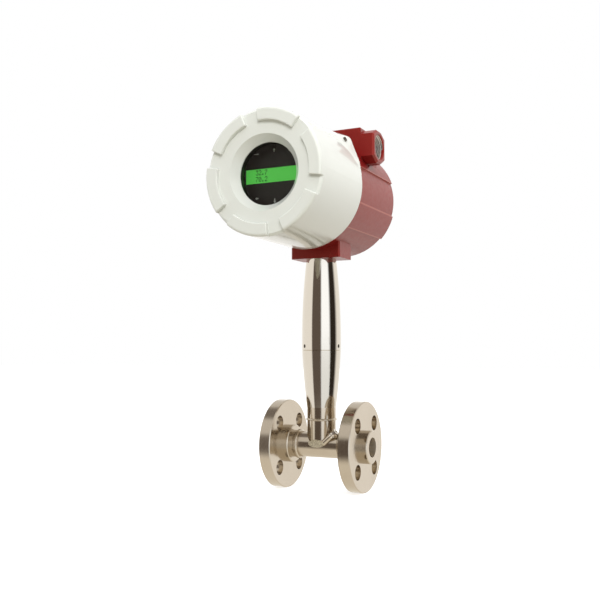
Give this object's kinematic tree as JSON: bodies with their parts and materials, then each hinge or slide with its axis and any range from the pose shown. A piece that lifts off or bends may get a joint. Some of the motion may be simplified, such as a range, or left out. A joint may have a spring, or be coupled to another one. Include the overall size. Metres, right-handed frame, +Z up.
{
  "type": "vortex flow meter",
  "caption": "In-line vortex flow meter: flanged steel tube with a shedder bar, a stainless post and a two-chamber red housing with a round display behind a white screw cover.",
  "frame": {"origin": "centre of the inlet sealing face, on the pipe axis", "axes": "+X along the flow from inlet to outlet, -Y towards the display, +Z up along the post"},
  "size_m": [0.1378, 0.2186, 0.3848],
  "materials": {
    "machined_steel": "fine turned satin stainless steel",
    "pipe_steel": "smooth satin stainless pipe",
    "polished_steel": "polished stainless tube, warm grey",
    "inner_steel": "plain machined steel",
    "fitting_steel": "bright turned fitting",
    "screw_steel": "small steel screws",
    "red_paint": "dark red gloss paint on casting",
    "rear_red_paint": "dark red gloss paint on casting",
    "white_paint": "off-white gloss paint on casting",
    "window_glass": "clear flat glass",
    "seal_rubber": "black seal rubber",
    "retainer_steel": "plain turned ring",
    "black_plate": "black plate",
    "lcd": "green display with plain digits",
    "board": "green circuit board",
    "spacer_brass": "turned brass spacers",
    "button_plastic": "dark button caps",
    "terminal_plastic": "black moulded terminal block",
    "lead_jacket": "jacket of the sensor lead",
    "potting": "potted feedthrough"
  },
  "bodies": {
    "meter": {"inlet_flange": "machined_steel", "outlet_flange": "machined_steel", "flow_tube": "pipe_steel", "shedder_bar": "inner_steel", "vortex_sensor": "inner_steel", "temperature_probe": "inner_steel", "sensor_neck": "pipe_steel", "lower_post": "polished_steel", "upper_post": "polished_steel", "post_seam_screws": "screw_steel", "sensor_lead": "lead_jacket", "sensor_feedthrough": "potting", "pressure_fitting": "fitting_steel", "pressure_plug": "fitting_steel", "enclosure_body": "red_paint", "post_clamp_screw": "screw_steel", "ground_screw": "screw_steel", "front_cover_seal": "seal_rubber", "faceplate": "black_plate", "lcd_module": "lcd", "display_board": "board", "main_board": "board", "power_board": "board", "board_spacers": "spacer_brass", "terminal_block": "terminal_plastic", "terminal_screws": "screw_steel"},
    "display_cover": {"front_cover": "white_paint", "cover_lock_screw": "screw_steel", "window_glass": "window_glass", "window_gasket": "seal_rubber", "glass_retainer": "retainer_steel"},
    "terminal_cover": {"rear_cover": "rear_red_paint", "rear_cover_seal": "seal_rubber"},
    "button_exit_cap": {"button_exit": "button_plastic"},
    "button_up_cap": {"button_up": "button_plastic"},
    "button_enter_cap": {"button_enter": "button_plastic"},
    "button_left_cap": {"button_left": "button_plastic"},
    "button_down_cap": {"button_down": "button_plastic"},
    "button_right_cap": {"button_right": "button_plastic"}
  },
  "joints": [
    {"name": "display_cover_unscrew", "type": "hinge", "parent": "meter", "child": "display_cover", "pos_m": [0.0585, -0.0873, 0.2713], "axis": [0, 1, 0], "continuous": true},
    {"name": "terminal_cover_unscrew", "type": "hinge", "parent": "meter", "child": "terminal_cover", "pos_m": [0.0585, 0.0655, 0.2713], "axis": [0, 1, 0], "continuous": true},
    {"name": "exit_press", "type": "slide", "parent": "meter", "child": "button_exit_cap", "axis": [0, 1, 0], "range_m": [0, 0.0005], "stiffness_N_per_m": 300, "springref_m": -0.0005},
    {"name": "up_press", "type": "slide", "parent": "meter", "child": "button_up_cap", "axis": [0, 1, 0], "range_m": [0, 0.0005], "stiffness_N_per_m": 300, "springref_m": -0.0005},
    {"name": "enter_press", "type": "slide", "parent": "meter", "child": "button_enter_cap", "axis": [0, 1, 0], "range_m": [0, 0.0005], "stiffness_N_per_m": 300, "springref_m": -0.0005},
    {"name": "left_press", "type": "slide", "parent": "meter", "child": "button_left_cap", "axis": [0, 1, 0], "range_m": [0, 0.0005], "stiffness_N_per_m": 300, "springref_m": -0.0005},
    {"name": "down_press", "type": "slide", "parent": "meter", "child": "button_down_cap", "axis": [0, 1, 0], "range_m": [0, 0.0005], "stiffness_N_per_m": 300, "springref_m": -0.0005},
    {"name": "right_press", "type": "slide", "parent": "meter", "child": "button_right_cap", "axis": [0, 1, 0], "range_m": [0, 0.0005], "stiffness_N_per_m": 300, "springref_m": -0.0005}
  ]
}
